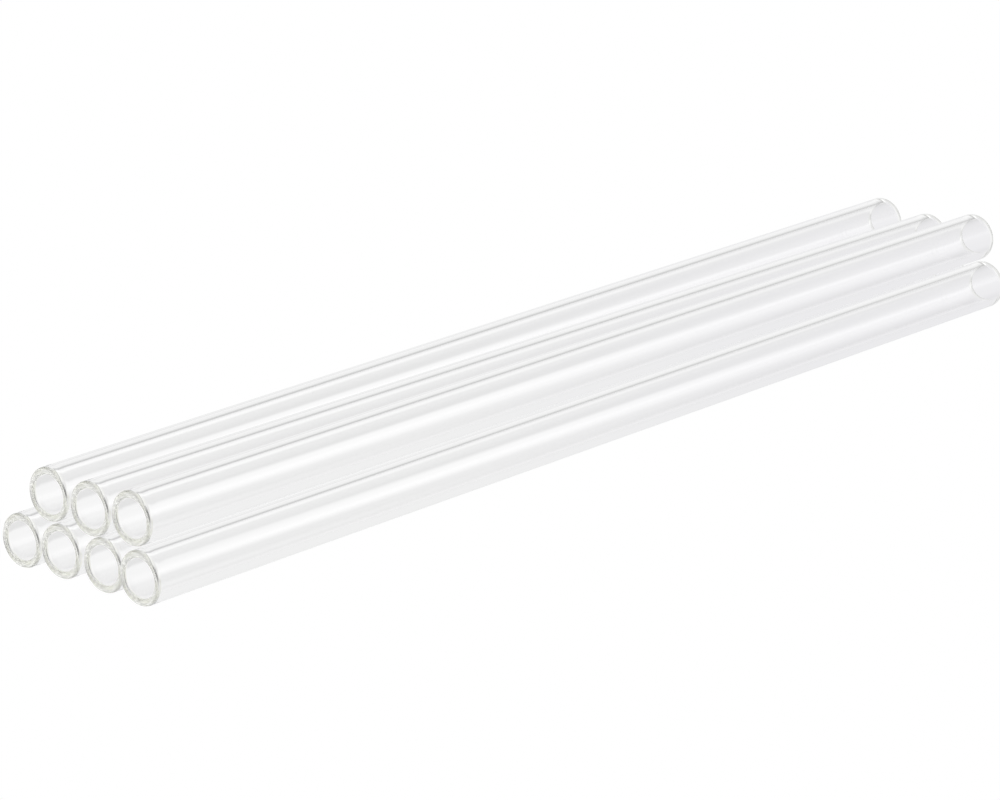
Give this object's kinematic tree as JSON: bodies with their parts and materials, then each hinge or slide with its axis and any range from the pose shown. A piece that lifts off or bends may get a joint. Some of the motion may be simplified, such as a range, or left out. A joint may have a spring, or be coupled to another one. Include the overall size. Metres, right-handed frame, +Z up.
{
  "type": "glass tube bundle",
  "caption": "Loose stack of plain straight clear glass tubes, open at both ends with fire-polished rims, lying in two rows on a bench.",
  "frame": {"origin": "centre of the bundle's outer box, on the surface that the bottom row lies on", "axes": "+X along the front tubes from their near ends to their far ends, +Y across the row from the front tube to the back tube, +Z up"},
  "size_m": [0.3054, 0.0542, 0.0227],
  "materials": {
    "clear_glass": "clear, smooth, fire-polished at the rims"
  },
  "bodies": {
    "bottom_tube_1": {"bottom_tube_1": "clear_glass"},
    "bottom_tube_2": {"bottom_tube_2": "clear_glass"},
    "bottom_tube_3": {"bottom_tube_3": "clear_glass"},
    "bottom_tube_4": {"bottom_tube_4": "clear_glass"},
    "top_tube_1": {"top_tube_1": "clear_glass"},
    "top_tube_2": {"top_tube_2": "clear_glass"},
    "top_tube_3": {"top_tube_3": "clear_glass"}
  },
  "joints": [
    {"name": "bottom_tube_1_draw", "type": "slide", "parent": "bottom_tube_3", "child": "bottom_tube_1", "axis": [-0.9999, -0.012, 0], "range_m": [0, 0.32]},
    {"name": "bottom_tube_2_draw", "type": "slide", "parent": "bottom_tube_3", "child": "bottom_tube_2", "axis": [-0.9999, -0.012, 0], "range_m": [0, 0.32]},
    {"name": "bottom_tube_4_draw", "type": "slide", "parent": "bottom_tube_3", "child": "bottom_tube_4", "axis": [-1, 0, 0], "range_m": [0, 0.32]},
    {"name": "top_tube_1_lift", "type": "slide", "parent": "bottom_tube_3", "child": "top_tube_1", "axis": [0, 0, 1], "range_m": [0, 0.05]},
    {"name": "top_tube_2_lift", "type": "slide", "parent": "bottom_tube_3", "child": "top_tube_2", "axis": [0, 0, 1], "range_m": [0, 0.05]},
    {"name": "top_tube_3_lift", "type": "slide", "parent": "bottom_tube_3", "child": "top_tube_3", "axis": [0, 0, 1], "range_m": [0, 0.05]}
  ]
}
